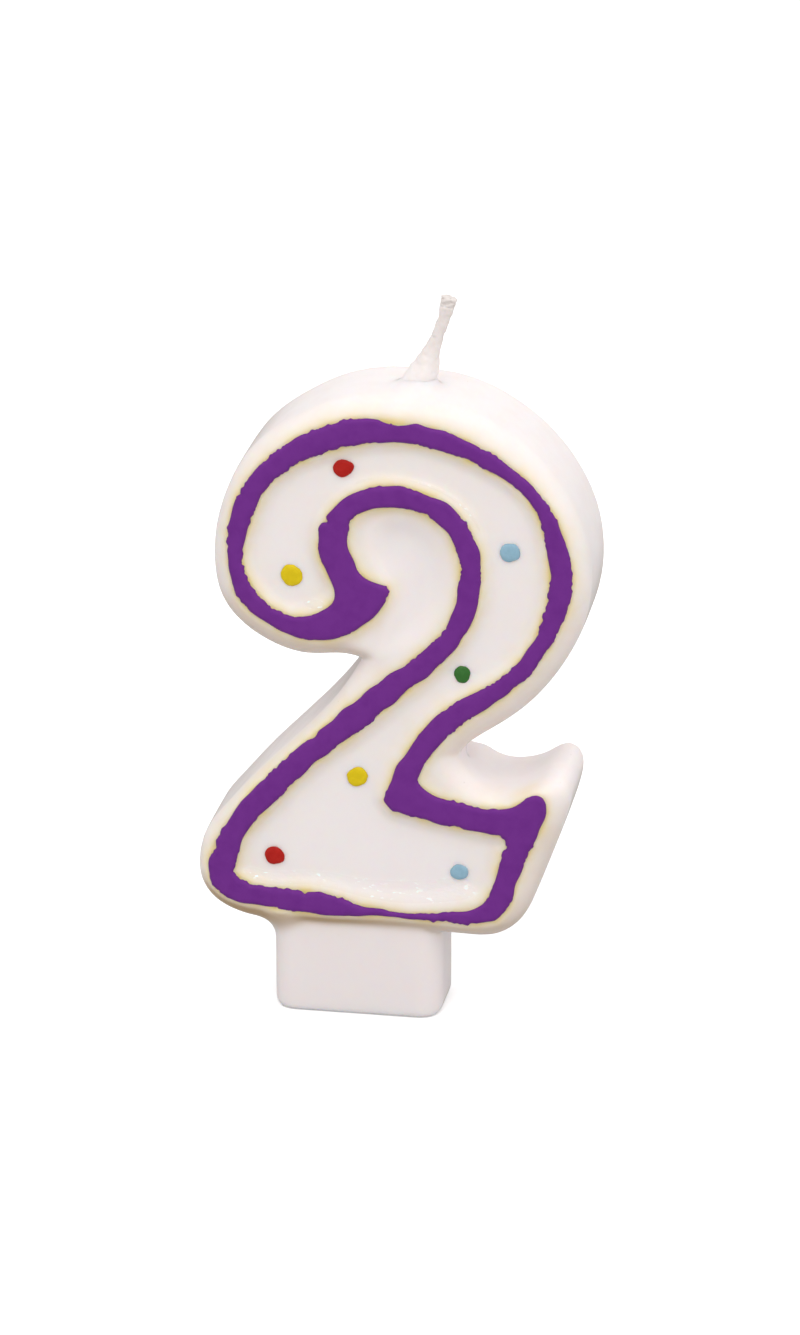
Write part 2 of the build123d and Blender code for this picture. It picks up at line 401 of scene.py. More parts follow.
dye *= 1 - 0.5 * hook_side * smooth((border_here - 0.1) / 0.5)
sheltered = smooth((np.maximum(inside_here, web_here + 1) + 0.5) / 1.5)
red_stain = np.zeros(len(cast_points))
for node in ("dot_red_upper", "dot_red_lower"):
    spot = (np.array(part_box(node)[0]) + np.array(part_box(node)[1])) / 2 / MM
    gap = np.hypot(at_x - spot[0] - DROP_SHIFT[0], at_z - spot[2] - DROP_SHIFT[1])
    red_stain += smooth((STAIN_REACH - gap) / 0.9)
gloss_and_glint_slope = np.exp(-((inside_here / on_face(floor_slope, cast_points) - 0.75) / 0.4) ** 2)
gloss_and_glint_slope *= on_face(rising, cast_points) * smooth((-3.8 - at_y) / 0.5)
gloss_and_glint_arc = np.exp(-((inside_here - 0.9) / 0.22) ** 2) * smooth((at_z - 58.5) / 2)
gloss_and_glint_arc *= smooth((67.0 - at_z) / 1.5) * smooth((15.5 - at_x) / 1.5)
gloss_and_glint_slope += 0.6 * gloss_and_glint_arc * smooth((at_x + 1) / 2) * (at_y < -4.4)
in_hook = np.hypot((at_x - GLOSS_AND_GLINT_HOOK[0]) / 1.3, (at_z - GLOSS_AND_GLINT_HOOK[1]) / 0.5)
gloss_and_glint_slope += np.exp(-in_hook ** 2) * (at_y < -4.2)
for name, values in (("beside_bead", beside_bead + 9 * (1 - at_front)),
                     ("dye", dye * at_front),
                     ("back_rim", smooth((at_y - 6.7) / 0.7)),
                     ("sheltered", sheltered * at_front),
                     ("near_front", at_front),
                     ("red_stain", red_stain * at_front),
                     ("gloss_and_glint_slope", gloss_and_glint_slope)):
    add_measure(wax_casting, name, values)
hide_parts("wax_body")


def put(tree, kind, **values):
    """A shader node with its settings and its input values."""
    node = tree.nodes.new(kind)
    for key, value in values.items():
        name = key.replace("_", " ")
        found = [s for s in node.inputs if s.name.lower() == name.lower()]
        if found:
            found[0].default_value = value
        else:
            setattr(node, key, value)
    return node


def linear(red, green, blue):
    """A colour on the 0 to 255 screen scale, as a shader colour."""
    def channel(value):
        value /= 255
        return value / 12.92 if value <= 0.04045 else ((value + 0.055) / 1.055) ** 2.4
    return channel(red), channel(green), channel(blue), 1.0


def mix_colours(tree, share, first, second):
    """The two colours mixed by share, where each may be a socket or a value."""
    node = put(tree, "ShaderNodeMix", data_type="RGBA")
    for socket, value in ((node.inputs[0], share), (node.inputs[6], first), (node.inputs[7], second)):
        if isinstance(value, bpy.types.NodeSocket):
            tree.links.new(value, socket)
        else:
            socket.default_value = value
    return node.outputs[2]


def build_cast_wax_group():
    """Shade and relief of cast wax: cloudy mottling, tiny pits and a fine skin."""
    tree = bpy.data.node_groups.new("cast_wax_skin", "ShaderNodeTree")
    face = tree.interface
    for name, kind, value in (("Colour", "NodeSocketColor", (1, 1, 1, 1)),
                              ("Cloud Colour", "NodeSocketColor", (1, 1, 1, 1)),
                              ("Cloud Size", "NodeSocketFloat", 3.0),
                              ("Pit Size", "NodeSocketFloat", 0.8),
                              ("Gloss", "NodeSocketFloat", 0.35),
                              ("Gloss Change", "NodeSocketFloat", 0.1),
                              ("Specks", "NodeSocketFloat", 0.0)):
        face.new_socket(name=name, in_out="INPUT", socket_type=kind).default_value = value
    face.new_socket(name="Colour", in_out="OUTPUT", socket_type="NodeSocketColor")
    face.new_socket(name="Roughness", in_out="OUTPUT", socket_type="NodeSocketFloat")
    face.new_socket(name="Height", in_out="OUTPUT", socket_type="NodeSocketFloat")
    given, made = put(tree, "NodeGroupInput"), put(tree, "NodeGroupOutput")
    link = tree.links.new
    place = put(tree, "ShaderNodeTexCoord")
    to_mm = put(tree, "ShaderNodeVectorMath", operation="SCALE", scale=1 / MM)
    link(place.outputs["Object"], to_mm.inputs[0])

    def scaled(size_socket):
        """Object position divided by a size in mm."""
        invert = put(tree, "ShaderNodeMath", operation="DIVIDE")
        invert.inputs[0].default_value = 1
        link(size_socket, invert.inputs[1])
        node = put(tree, "ShaderNodeVectorMath", operation="SCALE")
        link(to_mm.outputs[0], node.inputs[0])
        link(invert.outputs[0], node.inputs["Scale"])
        return node.outputs[0]

    cloud = put(tree, "ShaderNodeTexNoise", scale=1.0, detail=3.0, roughness=0.55)
    link(scaled(given.outputs["Cloud Size"]), cloud.inputs["Vector"])
    cloud_share = put(tree, "ShaderNodeMapRange", from_min=0.42, from_max=0.68)
    link(cloud.outputs["Fac"], cloud_share.inputs["Value"])
    colour = mix_colours(tree, cloud_share.outputs[0], given.outputs["Colour"],
                         given.outputs["Cloud Colour"])
    specks = put(tree, "ShaderNodeTexVoronoi", scale=0.4, randomness=1.0)
    link(to_mm.outputs[0], specks.inputs["Vector"])
    speck_share = put(tree, "ShaderNodeMapRange", from_min=0.012, from_max=0.04, to_min=0.45, to_max=0.0)
    link(specks.outputs["Distance"], speck_share.inputs["Value"])
    some = put(tree, "ShaderNodeSeparateColor")
    link(specks.outputs["Color"], some.inputs[0])
    chosen = put(tree, "ShaderNodeMath", operation="LESS_THAN")
    link(some.outputs[0], chosen.inputs[0])
    link(given.outputs["Specks"], chosen.inputs[1])
    shown = put(tree, "ShaderNodeMath", operation="MULTIPLY")
    link(chosen.outputs[0], shown.inputs[0])
    link(speck_share.outputs[0], shown.inputs[1])
    colour = mix_colours(tree, shown.outputs[0], colour, linear(170, 146, 118))
    link(colour, made.inputs["Colour"])

    gloss_noise = put(tree, "ShaderNodeTexNoise", scale=2.3, detail=2.0)
    link(scaled(given.outputs["Cloud Size"]), gloss_noise.inputs["Vector"])
    gloss = put(tree, "ShaderNodeMath", operation="MULTIPLY_ADD")
    link(gloss_noise.outputs["Fac"], gloss.inputs[0])
    link(given.outputs["Gloss Change"], gloss.inputs[1])
    link(given.outputs["Gloss"], gloss.inputs[2])
    link(gloss.outputs[0], made.inputs["Roughness"])

    pit_place = scaled(given.outputs["Pit Size"])
    pits = put(tree, "ShaderNodeTexVoronoi", scale=0.45, randomness=1.0)
    link(pit_place, pits.inputs["Vector"])
    pit_dip = put(tree, "ShaderNodeMapRange", from_min=0.0, from_max=0.16, to_min=-1.0, to_max=0.0)
    link(pits.outputs["Distance"], pit_dip.inputs["Value"])
    skin = put(tree, "ShaderNodeTexNoise", scale=1.6, detail=5.0, roughness=0.6)
    link(pit_place, skin.inputs["Vector"])
    height = put(tree, "ShaderNodeMath", operation="MULTIPLY_ADD")
    link(pit_dip.outputs[0], height.inputs[0])
    height.inputs[1].default_value = 0.35
    link(skin.outputs["Fac"], height.inputs[2])
    link(height.outputs[0], made.inputs["Height"])
    return tree


cast_wax_skin = build_cast_wax_group()


def wax_material(name, colour, cloud, roughness, subsurface, bump, cloud_size=3.0, radius=(2.2, 1.5, 1.1)):
    """A wax finish. Returns the material, its tree, its skin group and its shader."""
    material = bpy.data.materials.new(name)
    material.use_nodes = True
    tree = material.node_tree
    shader = tree.nodes["Principled BSDF"]
    shader.inputs["Subsurface Weight"].default_value = subsurface
    shader.inputs["Subsurface Radius"].default_value = radius
    shader.inputs["Subsurface Scale"].default_value = MM
    shader.inputs["IOR"].default_value = 1.44
    skin = put(tree, "ShaderNodeGroup", node_tree=cast_wax_skin)
    skin.inputs["Colour"].default_value = colour
    skin.inputs["Cloud Colour"].default_value = cloud
    skin.inputs["Cloud Size"].default_value = cloud_size
    skin.inputs["Gloss"].default_value = roughness
    relief = put(tree, "ShaderNodeBump", strength=bump, distance=0.05 * MM)
    tree.links.new(skin.outputs["Height"], relief.inputs["Height"])
    tree.links.new(relief.outputs["Normal"], shader.inputs["Normal"])
    tree.links.new(skin.outputs["Roughness"], shader.inputs["Roughness"])
    tree.links.new(skin.outputs["Colour"], shader.inputs["Base Color"])
    return material, tree, skin, shader


def cloud_noise(tree, size, detail=2.0, roughness=0.5, drawn_out=1.0):
    """Noise whose lumps are a given number of mm wide on the piece itself, drawn out along X."""
    node = put(tree, "ShaderNodeTexNoise", scale=1.0 / (size * MM), detail=detail, roughness=roughness)
    stretch = put(tree, "ShaderNodeMapping")
    stretch.inputs["Scale"].default_value = (1 / drawn_out, 1, 1)
    tree.links.new(put(tree, "ShaderNodeTexCoord").outputs["Object"], stretch.inputs["Vector"])
    tree.links.new(stretch.outputs["Vector"], node.inputs["Vector"])
    return node.outputs["Fac"]


def share_of(tree, source, low, high, at_low, at_high):
    """A socket's value turned into a share, softly, between two of its values."""
    node = put(tree, "ShaderNodeMapRange", interpolation_type="SMOOTHSTEP",
               from_min=low, from_max=high, to_min=at_low, to_max=at_high)
    tree.links.new(source, node.inputs["Value"])
    return node.outputs[0]


def worked_out(tree, operation, first, second):
    """One sum on two numbers, each a socket or a value."""
    node = put(tree, "ShaderNodeMath", operation=operation)
    for socket, value in zip(node.inputs, (first, second)):
        if isinstance(value, bpy.types.NodeSocket):
            tree.links.new(value, socket)
        else:
            socket.default_value = value
    return node.outputs[0]


def product(tree, first, *others):
    """Several numbers multiplied together, each a socket or a value."""
    for other in others:
        first = worked_out(tree, "MULTIPLY", first, other)
    return first


def measure(tree, name):
    """A number that the mesh carries at its points."""
    return put(tree, "ShaderNodeAttribute", attribute_name=name).outputs["Fac"]


WAX_WHITE, WAX_CLOUD = linear(247, 238, 237), linear(245, 235, 233)
SUNKEN_FACE_PAINTED_LIGHT = linear(255, 240, 239)           # painted light: the sunken faces painted brighter, as if lit from all round
FOOT_WHITE = linear(244, 235, 234)
DYE_YELLOW = linear(247, 226, 160)           # dye that crept out of the coloured bead
EDGE_YELLOW = linear(236, 206, 112)          # and its line right beside the bead
UNDERSIDE_PAINTED_SHADE = linear(180, 152, 114)          # painted shade on the downward-facing undersides, tinted brown
RED_BLUSH = linear(238, 190, 170)
EDGE_PAINTED_SHADE = linear(196, 184, 176)            # painted grey shade on the rim at the back and where the surface is seen edge-on
PAINTED_GLINT_WHITE = (1, 0.98, 0.95, 1)
WET_GLOSS = 0.14

white_wax, tree, skin, shader = wax_material(
    "white_paraffin", WAX_WHITE, WAX_CLOUD, 0.3, 0.7, 0.3, radius=(1.4, 1.0, 0.7))
skin.inputs["Specks"].default_value = 0.5
place = put(tree, "ShaderNodeSeparateXYZ")
tree.links.new(put(tree, "ShaderNodeTexCoord").outputs["Object"], place.inputs[0])
facing = put(tree, "ShaderNodeSeparateXYZ")
tree.links.new(put(tree, "ShaderNodeNewGeometry").outputs["Normal"], facing.inputs[0])
uneven = share_of(tree, cloud_noise(tree, 2.2), 0.3, 0.7, 0.65, 1.2)
low_share = share_of(tree, place.outputs["Z"], 8 * MM, 12.5 * MM, 1.0, 0.0)
near_bead = worked_out(tree, "MULTIPLY", measure(tree, "beside_bead"), -2.6)
edge_share = product(tree, worked_out(tree, "EXPONENT", near_bead, 0), uneven, 0.75)
# Painted shade: darker and browner on surfaces that face down and out, above the foot and outside the
# sunken faces.
underside_shade_share = product(
    tree,
    share_of(tree, facing.outputs["Z"], -0.6, 0.05, 1.0, 0.0),
    worked_out(tree, "SUBTRACT", 1.0, low_share),
    share_of(tree, facing.outputs["Y"], -0.36, 0.0, 1.0, 0.0),
    worked_out(tree, "SUBTRACT", measure(tree, "near_front"), measure(tree, "sheltered")),
    share_of(tree, place.outputs["X"], -4 * MM, 14 * MM, 1.0, 0.5),
    share_of(tree, place.outputs["Z"], 16 * MM, 36 * MM, 1.0, 0.42))
rim_view = put(tree, "ShaderNodeLayerWeight", blend=0.5)
shade = skin.outputs["Colour"]
# Tints over the wax's own colour: painted light on the sunken faces, the darker foot, the dye and its
# yellow edge by the bead, painted shade on the undersides, the red blush by the red drops, and painted
# grey shade at the back rim and where the surface is seen edge-on.
for share, tint in ((measure(tree, "sheltered"), SUNKEN_FACE_PAINTED_LIGHT),
                    (low_share, FOOT_WHITE),
                    (product(tree, measure(tree, "dye"), uneven), DYE_YELLOW),
                    (edge_share, EDGE_YELLOW),
                    (underside_shade_share, UNDERSIDE_PAINTED_SHADE),
                    (product(tree, measure(tree, "red_stain"), 0.3), RED_BLUSH),
                    # painted grey shade at the back rim and on the surface seen edge-on
                    (product(tree, measure(tree, "back_rim"), 0.3), EDGE_PAINTED_SHADE),
                    (share_of(tree, rim_view.outputs["Facing"], 0.8, 1.0, 0.0, 0.9), EDGE_PAINTED_SHADE)):
    shade = mix_colours(tree, share, shade, tint)

gloss_glint_share = share_of(tree, measure(tree, "gloss_and_glint_slope"), 0.1, 0.8, 0.0, 1.0)
gloss = put(tree, "ShaderNodeMix", data_type="FLOAT")
tree.links.new(gloss_glint_share, gloss.inputs[0])
tree.links.new(skin.outputs["Roughness"], gloss.inputs[2])
gloss.inputs[3].default_value = WET_GLOSS
tree.links.new(gloss.outputs[0], shader.inputs["Roughness"])
# Painted glints: white spots in the base colour, glowing a little through the emission, on the glossy
# slopes.
painted_glints = product(
    tree,
    share_of(tree, cloud_noise(tree, 0.36, drawn_out=2.2), 0.6, 0.68, 0.0, 1.0),
    share_of(tree, cloud_noise(tree, 2.5), 0.42, 0.58, 0.0, 1.0),
    gloss_glint_share)
tree.links.new(mix_colours(tree, painted_glints, shade, PAINTED_GLINT_WHITE), shader.inputs["Base Color"])
tree.links.new(mix_colours(tree, painted_glints, (0, 0, 0, 1), (1, 1, 1, 1)), shader.inputs["Emission Color"])
shader.inputs["Emission Strength"].default_value = 0.12
ripple = product(tree, cloud_noise(tree, 0.6, 3.0, 0.6, 2.0), gloss_glint_share, 5.0)
relief = shader.inputs["Normal"].links[0].from_node
tree.links.new(worked_out(tree, "ADD", skin.outputs["Height"], ripple), relief.inputs["Height"])
wax_casting.data.materials.append(white_wax)


# The outline bead. Purple wax laid on the raised rim while soft: about two millimetres wide,
# gently domed, with an edge that wanders where the wax spread.
BEAD_BED = -5.9             # underside of the bead, just in the rim
BEAD_RISE = 0.3
BEAD_EDGE_ROUND = 0.3
BEAD_EDGE_STEP = 0.13       # mm between points along the edges, and over the top
BEAD_POINT_STEP = 0.3
BEAD_FILL_MARGIN = 0.12
BEAD_WANDER = ((2.4, 0.24),)
BEAD_TEARS = ((0.8, 0.22), (0.35, 0.16))     # torn edge, in places only
BEAD_NICKS = (               # X, Z, depth into the bead and width: where two runs met, and teeth
    (-3.2, 60.8, 0.5, 0.28), (-4.0, 59.9, -0.3, 0.5), (-5.7, 15.6, 0.5, 0.25), (-3.9, 15.6, -0.3, 0.7),
    (6.5, 44.9, -0.3, 0.35), (11.7, 72.7, -0.25, 0.25), (21.2, 66.3, -0.25, 0.25))
BEAD_LUMPS = ((3.0, 0.025), (1.0, 0.012))


def wandering_line(line, step, seed, outward_sign):
    """A closed line with its edge moved in and out by the spread of the wax."""
    line = even_line(line, step)
    run = np.roll(line, -2, 0) - np.roll(line, 2, 0)
    normal = np.column_stack([run[:, 1], -run[:, 0]]) / np.hypot(*run.T)[:, None]
    turning = (line[:, 0] * run[:, 1] - line[:, 1] * run[:, 0]).sum()
    normal *= outward_sign * np.sign(turning)
    flat = np.column_stack([line[:, 0], np.zeros(len(line)), line[:, 1]])
    torn = smooth(unevenness(flat, ((3.5, 1.8),), seed + 5) + 0.3)
    moved = unevenness(flat, BEAD_WANDER, seed) + torn * unevenness(flat, BEAD_TEARS, seed + 9)
    for nick_x, nick_z, nick_depth, nick_width in BEAD_NICKS:
        gap = np.hypot(line[:, 0] - nick_x, line[:, 1] - nick_z)
        moved -= nick_depth * np.exp(-(gap / nick_width) ** 2)
    return line + normal * moved[:, None]


bead_outer = wandering_line(bead_lines[0], BEAD_EDGE_STEP, 11.0, 1)
bead_inner = wandering_line(bead_lines[1], BEAD_EDGE_STEP, 17.0, -1)


def depth_in_bead(points):
    """Distance in mm from each (X, Z) point to the bead's nearer edge, positive in the bead."""
    return np.minimum(depth_inside(points, bead_outer), -depth_inside(points, bead_inner))


mesh_x, mesh_z = np.meshgrid(np.arange(-20, 28, BEAD_POINT_STEP), np.arange(10, 76, BEAD_POINT_STEP))
mesh_x[::2] += BEAD_POINT_STEP / 2
fill = np.column_stack([mesh_x.ravel(), mesh_z.ravel()])
fill = fill[depth_in_bead(fill) > BEAD_FILL_MARGIN]
flat_points = np.vstack([bead_outer, bead_inner, fill])
n_outer, n_inner = len(bead_outer), len(bead_inner)
ring = [(i, (i + 1) % n_outer) for i in range(n_outer)]
ring += [(n_outer + i, n_outer + (i + 1) % n_inner) for i in range(n_inner)]
cut = delaunay_2d_cdt([Vector(p) for p in flat_points], ring, [], 0, 1e-6, True)
bead_flat = np.array([tuple(p) for p in cut[0]])
triangles = np.array(cut[2])
triangles = triangles[depth_in_bead(bead_flat[triangles].mean(1)) > 0]
bead_depth = np.clip(depth_in_bead(bead_flat), 0, None)
dome = np.sqrt(1 - (1 - np.clip(bead_depth / BEAD_EDGE_ROUND, 0, 1)) ** 2)
dome = 0.9 * dome + 0.1 * smooth(bead_depth / 1.6)
spots = np.column_stack([bead_flat[:, 0], np.zeros(len(bead_flat)), bead_flat[:, 1]])
top_y = RIM_Y - BEAD_RISE * dome - unevenness(spots, BEAD_LUMPS, 5.0) * dome
top = np.column_stack([bead_flat[:, 0], top_y, bead_flat[:, 1]])
bed = np.column_stack([bead_flat[:, 0], np.full(len(bead_flat), BEAD_BED), bead_flat[:, 1]])
edges = np.vstack([triangles[:, [0, 1]], triangles[:, [1, 2]], triangles[:, [2, 0]]])
edges = dict.fromkeys((a, b) for a, b in edges)
rim_edges = [(a, b) for a, b in edges if (b, a) not in edges]
count = len(bead_flat)
faces = [tuple(t) for t in triangles] + [tuple(t[::-1] + count) for t in triangles]
faces += [(b, a, a + count, b + count) for a, b in rim_edges]
outline = new_piece("purple_outline", np.vstack([top, bed]), faces)
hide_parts("outline_bead")
purple_wax, tree, skin, shader = wax_material(
    "purple_wax", linear(114, 44, 140), linear(109, 39, 135), 0.5, 0.05, 0.3, 1.5)
shader.inputs["Specular IOR Level"].default_value = 0.2
outline.data.materials.append(purple_wax)


# The drops. Seven small drops of coloured wax, dripped on the sunken face and left to set:
# low, domed, and round only by luck.
DROP_RINGS = (0.25, 0.5, 0.7, 0.84, 0.94, 1.0)
DROP_POINTS = 40
DROP_RISE = 0.8
DROP_LIFT = 0.25            # and they sit this far forward, on the shallower face
DROP_BED = -4.9
DROP_COLOURS = {
    "red": (176, 22, 12), "yellow": (222, 193, 10), "blue": (143, 180, 199), "green": (52, 108, 44)}


def drop(node, colour, seed):
    """One drop in the place and size of its CAD node."""
    low, high = (np.array(corner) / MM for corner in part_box(node))
    middle, half = (low + high) / 2, (high - low) / 2
    middle[0] += DROP_SHIFT[0]
    middle[2] += DROP_SHIFT[1]
    rise = DROP_RISE * (high[1] - low[1])
    foot_y = high[1] - DROP_LIFT
    points = [(middle[0], foot_y - rise, middle[2])]
    for share in DROP_RINGS:
        for i in range(DROP_POINTS):
            turn = 2 * math.pi * i / DROP_POINTS
            way = Vector((math.cos(turn), math.sin(turn), 0))
            reach = share * (1 + 0.22 * noise.noise(way * 0.9 + Vector((0, 0, seed)))
                             + 0.05 * noise.noise(way * 3 + Vector((0, 0, seed))))
            points.append((middle[0] + half[0] * reach * way.x,
                           foot_y - rise * (1 - share ** 5) ** 0.6,
                           middle[2] + half[2] * reach * way.y))
    points += [(p[0], DROP_BED, p[2]) for p in points[-DROP_POINTS:]]
    points.append((middle[0], DROP_BED, middle[2]))
    faces = [(0, 1 + i, 1 + (i + 1) % DROP_POINTS) for i in range(DROP_POINTS)]
    for ring_number in range(len(DROP_RINGS)):
        a = 1 + ring_number * DROP_POINTS
        for i in range(DROP_POINTS):
            j = (i + 1) % DROP_POINTS
            faces.append((a + i, a + DROP_POINTS + i, a + DROP_POINTS + j, a + j))
    last = 1 + len(DROP_RINGS) * DROP_POINTS
    faces += [(last + DROP_POINTS, last + (i + 1) % DROP_POINTS, last + i) for i in range(DROP_POINTS)]
    piece = new_piece(node + "_wax", points, faces)
    piece.data.materials.append(drop_finishes[colour])
    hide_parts(node)


drop_finishes = {}
for name, shade in DROP_COLOURS.items():
    paler = tuple(v + 10 for v in shade)
    finish, tree, skin, shader = wax_material(
        name + "_wax", linear(*shade), linear(*paler), 0.35, 0.1, 0.2, 0.8)
    shader.inputs["Specular IOR Level"].default_value = 0.25
    drop_finishes[name] = finish
for number, node in enumerate(("dot_red_upper", "dot_red_lower", "dot_yellow_upper", "dot_yellow_lower",
                               "dot_blue_upper", "dot_blue_lower", "dot_green")):
    drop(node, node.split("_")[1], 2.0 + number * 3.7)


# The wick. Cotton strands braided round each other, white, cut off square above the wax so
# that the strands spread a little at the end.
WICK_LINE = ((6.8, 74.0), (7.1, 76.2), (7.72, 78.8), (8.6, 81.4), (9.35, 83.4), (9.95, 85.95))
WICK_ROOT = np.array([6.7, 0.0, 75.0])
WICK_CUT = np.array([9.8, 0.0, 86.1])
WICK_STRANDS = 8            # seven round one core strand
STRAND_RADIUS = 0.27
STRAND_SIDES = 10
STRAND_RINGS = 60
STRAND_LAY = 3.4            # mm of wick for one turn of a strand
STRAND_REACH = 0.3          # mm from the middle of the wick to the middle of a strand
CUT_SPREAD = 0.3            # and how much farther at the cut end
BACK = np.array((0.0, 1.0, 0.0))
wick_length = np.linalg.norm(WICK_CUT - WICK_ROOT)
lean = (WICK_CUT - WICK_ROOT) / wick_length
lean_side = np.cross(BACK, lean)
bends = np.array(WICK_LINE)
bend_stops = np.concatenate([[0], np.cumsum(np.hypot(*np.diff(bends, axis=0).T))])
run_stops = np.linspace(0, bend_stops[-1], 80)
wick_run = np.array([np.interp(run_stops, bend_stops, bends[:, i]) for i in (0, 1)])
for _ in range(60):
    wick_run[:, 1:-1] = (wick_run[:, :-2] + 2 * wick_run[:, 1:-1] + wick_run[:, 2:]) / 4


def wick_middle(share):
    """The middle of the wick at a share of its bare length."""
    at = share * run_stops[-1]
    return np.array((np.interp(at, run_stops, wick_run[0]), 0.0, np.interp(at, run_stops, wick_run[1])))


def tube_faces(rows, sides):
    """Faces of a closed tube whose points go round it row by row."""
    faces = []
    for row in range(rows - 1):
        for i in range(sides):
            j = (i + 1) % sides
            a, b = row * sides, (row + 1) * sides
            faces.append((a + i, a + j, b + j, b + i))
    faces.append(tuple(range(sides))[::-1])
    faces.append(tuple((rows - 1) * sides + i for i in range(sides)))
    return faces


def strand(number):
    """Points of one strand, ring by ring, from inside the collar to its rounded cut end."""
    points = []
    for stop in np.linspace(0.02, 1.0, STRAND_RINGS):
        lay = stop * wick_length / STRAND_LAY * (1 if number % 2 else -1)
        turn = 2 * math.pi * (number / WICK_STRANDS + lay)
        reach = STRAND_REACH + CUT_SPREAD * smooth((stop - 0.82) / 0.18) + 0.03 * math.sin(turn * 2)
        reach *= number > 0
        middle = wick_middle(stop) + reach * (math.cos(turn) * lean_side + math.sin(turn) * 0.8 * BACK)
        radius = STRAND_RADIUS * (1 + 0.12 * noise.noise(Vector(middle) * 1.7))
        radius *= 1 + (0.35 if number else 1.6) * smooth((stop - 0.8) / 0.2)
        for i in range(STRAND_SIDES):
            a = 2 * math.pi * i / STRAND_SIDES
            points.append(middle + radius * (math.cos(a) * lean_side + math.sin(a) * BACK))
    last_ring = np.array(points[-STRAND_SIDES:])
    return points + list(middle + 0.55 * (last_ring - middle) + 0.12 * lean)


strand_faces = tube_faces(STRAND_RINGS + 1, STRAND_SIDES)
wick_points, wick_faces = [], []
for number in range(WICK_STRANDS):
    wick_faces += [tuple(i + len(wick_points) for i in face) for face in strand_faces]
    wick_points += strand(number)
wick_braid = new_piece("wick_braid", wick_points, wick_faces)
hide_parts("wick")
cotton = bpy.data.materials.new("waxed_cotton")
cotton.use_nodes = True
tree = cotton.node_tree
shader = tree.nodes["Principled BSDF"]
fibres = put(tree, "ShaderNodeTexNoise", scale=1.0, detail=4.0)
stretch = put(tree, "ShaderNodeMapping")
stretch.inputs["Scale"].default_value = (9000, 9000, 1500)
place = put(tree, "ShaderNodeTexCoord")
tree.links.new(place.outputs["Object"], stretch.inputs["Vector"])
tree.links.new(stretch.outputs["Vector"], fibres.inputs["Vector"])
shade = mix_colours(tree, fibres.outputs["Fac"], linear(220, 210, 205), linear(240, 232, 227))
tree.links.new(shade, shader.inputs["Base Color"])
shader.inputs["Roughness"].default_value = 0.7
fuzz = put(tree, "ShaderNodeBump", strength=0.6, distance=0.06 * MM)
tree.links.new(fibres.outputs["Fac"], fuzz.inputs["Height"])
tree.links.new(fuzz.outputs["Normal"], shader.inputs["Normal"])
wick_braid.data.materials.append(cotton)


# The wax coat of the wick. The bare end was dipped, so a thin uneven skin of wax covers the
# braid up to just under the cut, where it thins out.
COAT_ACROSS = 0.66          # half its width and half its depth
COAT_DEEP = 0.62


def sleeve(name, rings, sides, lumps, seed):
    """A closed lumpy tube through rings of (middle, radius across, radius deep)."""
    points = []
    for middle, across_radius, deep_radius in rings:
        for i in range(sides):
            a = 2 * math.pi * i / sides
            sideways = math.cos(a) * across_radius * lean_side
            points.append(middle + sideways + math.sin(a) * deep_radius * BACK)
    points = np.array(points)
    way = points - np.repeat(np.array([r[0] for r in rings]), sides, axis=0)
    way /= np.linalg.norm(way, axis=1, keepdims=True)
    points = points + way * unevenness(points, lumps, seed)[:, None]
    return new_piece(name, points, tube_faces(len(rings), sides))


coat_rings = []
for stop in np.linspace(0.4, 0.965, 60):
    flare = smooth((stop - 0.78) / 0.2)
    thinned = 1 - 0.4 * smooth((stop - 0.9) / 0.065)
    across_radius, deep_radius = COAT_ACROSS + 0.3 * flare, COAT_DEEP + 0.2 * flare
    coat_rings.append((wick_middle(stop), across_radius * thinned, deep_radius * thinned))
coat = sleeve("wick_coat", coat_rings, 32, ((1.3, 0.08), (0.5, 0.07), (0.25, 0.045)), 8.0)
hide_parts("wick_wax_coat")
coat_wax, tree, skin, shader = wax_material(
    "crept_wax", linear(248, 240, 238), linear(245, 237, 233), 0.4, 0.3, 0.25, 0.8, (0.5, 0.35, 0.25))
place = put(tree, "ShaderNodeSeparateXYZ")
tree.links.new(put(tree, "ShaderNodeTexCoord").outputs["Object"], place.inputs[0])
thin_share = product(tree, share_of(tree, place.outputs["Z"], 76.5 * MM, 81.5 * MM, 0.0, 1.0),
                     share_of(tree, cloud_noise(tree, 0.9), 0.3, 0.7, 0.7, 1.1))
shade = mix_colours(tree, thin_share, skin.outputs["Colour"], linear(234, 225, 221))
tree.links.new(shade, shader.inputs["Base Color"])
coat.data.materials.append(coat_wax)


# The wax collar. A cone of wax that crept up the wick as the casting cooled, stepped where
# the mould's wick hole pinched it, and running out in a soft swelling over the crown.
COLLAR_PROFILE = (          # centre X, Z, half width
    (6.2, 73.8, 2.0), (6.3, 74.8, 1.95), (6.45, 75.5, 1.9), (6.65, 76.2, 1.8), (7.0, 77.0, 1.72),
    (7.15, 77.5, 1.62), (7.4, 78.1, 1.36), (7.55, 78.5, 1.3), (7.8, 79.1, 1.1), (7.95, 79.5, 1.05),
    (8.15, 80.0, 0.9), (8.35, 80.6, 0.76), (8.6, 81.3, 0.64), (8.75, 81.8, 0.5))
profile_x, profile_z, profile_half = np.transpose(COLLAR_PROFILE)
collar_rings = []
for level in np.linspace(profile_z[0], profile_z[-1], 54):
    middle = np.array((np.interp(level, profile_z, profile_x), 0.0, level))
    half = np.interp(level, profile_z, profile_half)
    collar_rings.append((middle, half, half * 0.95))
collar = sleeve("wick_root_cone", collar_rings, 80, ((1.6, 0.14), (0.6, 0.07), (0.3, 0.04)), 13.0)
collar.data.materials.append(coat_wax)
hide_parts("wick_collar")


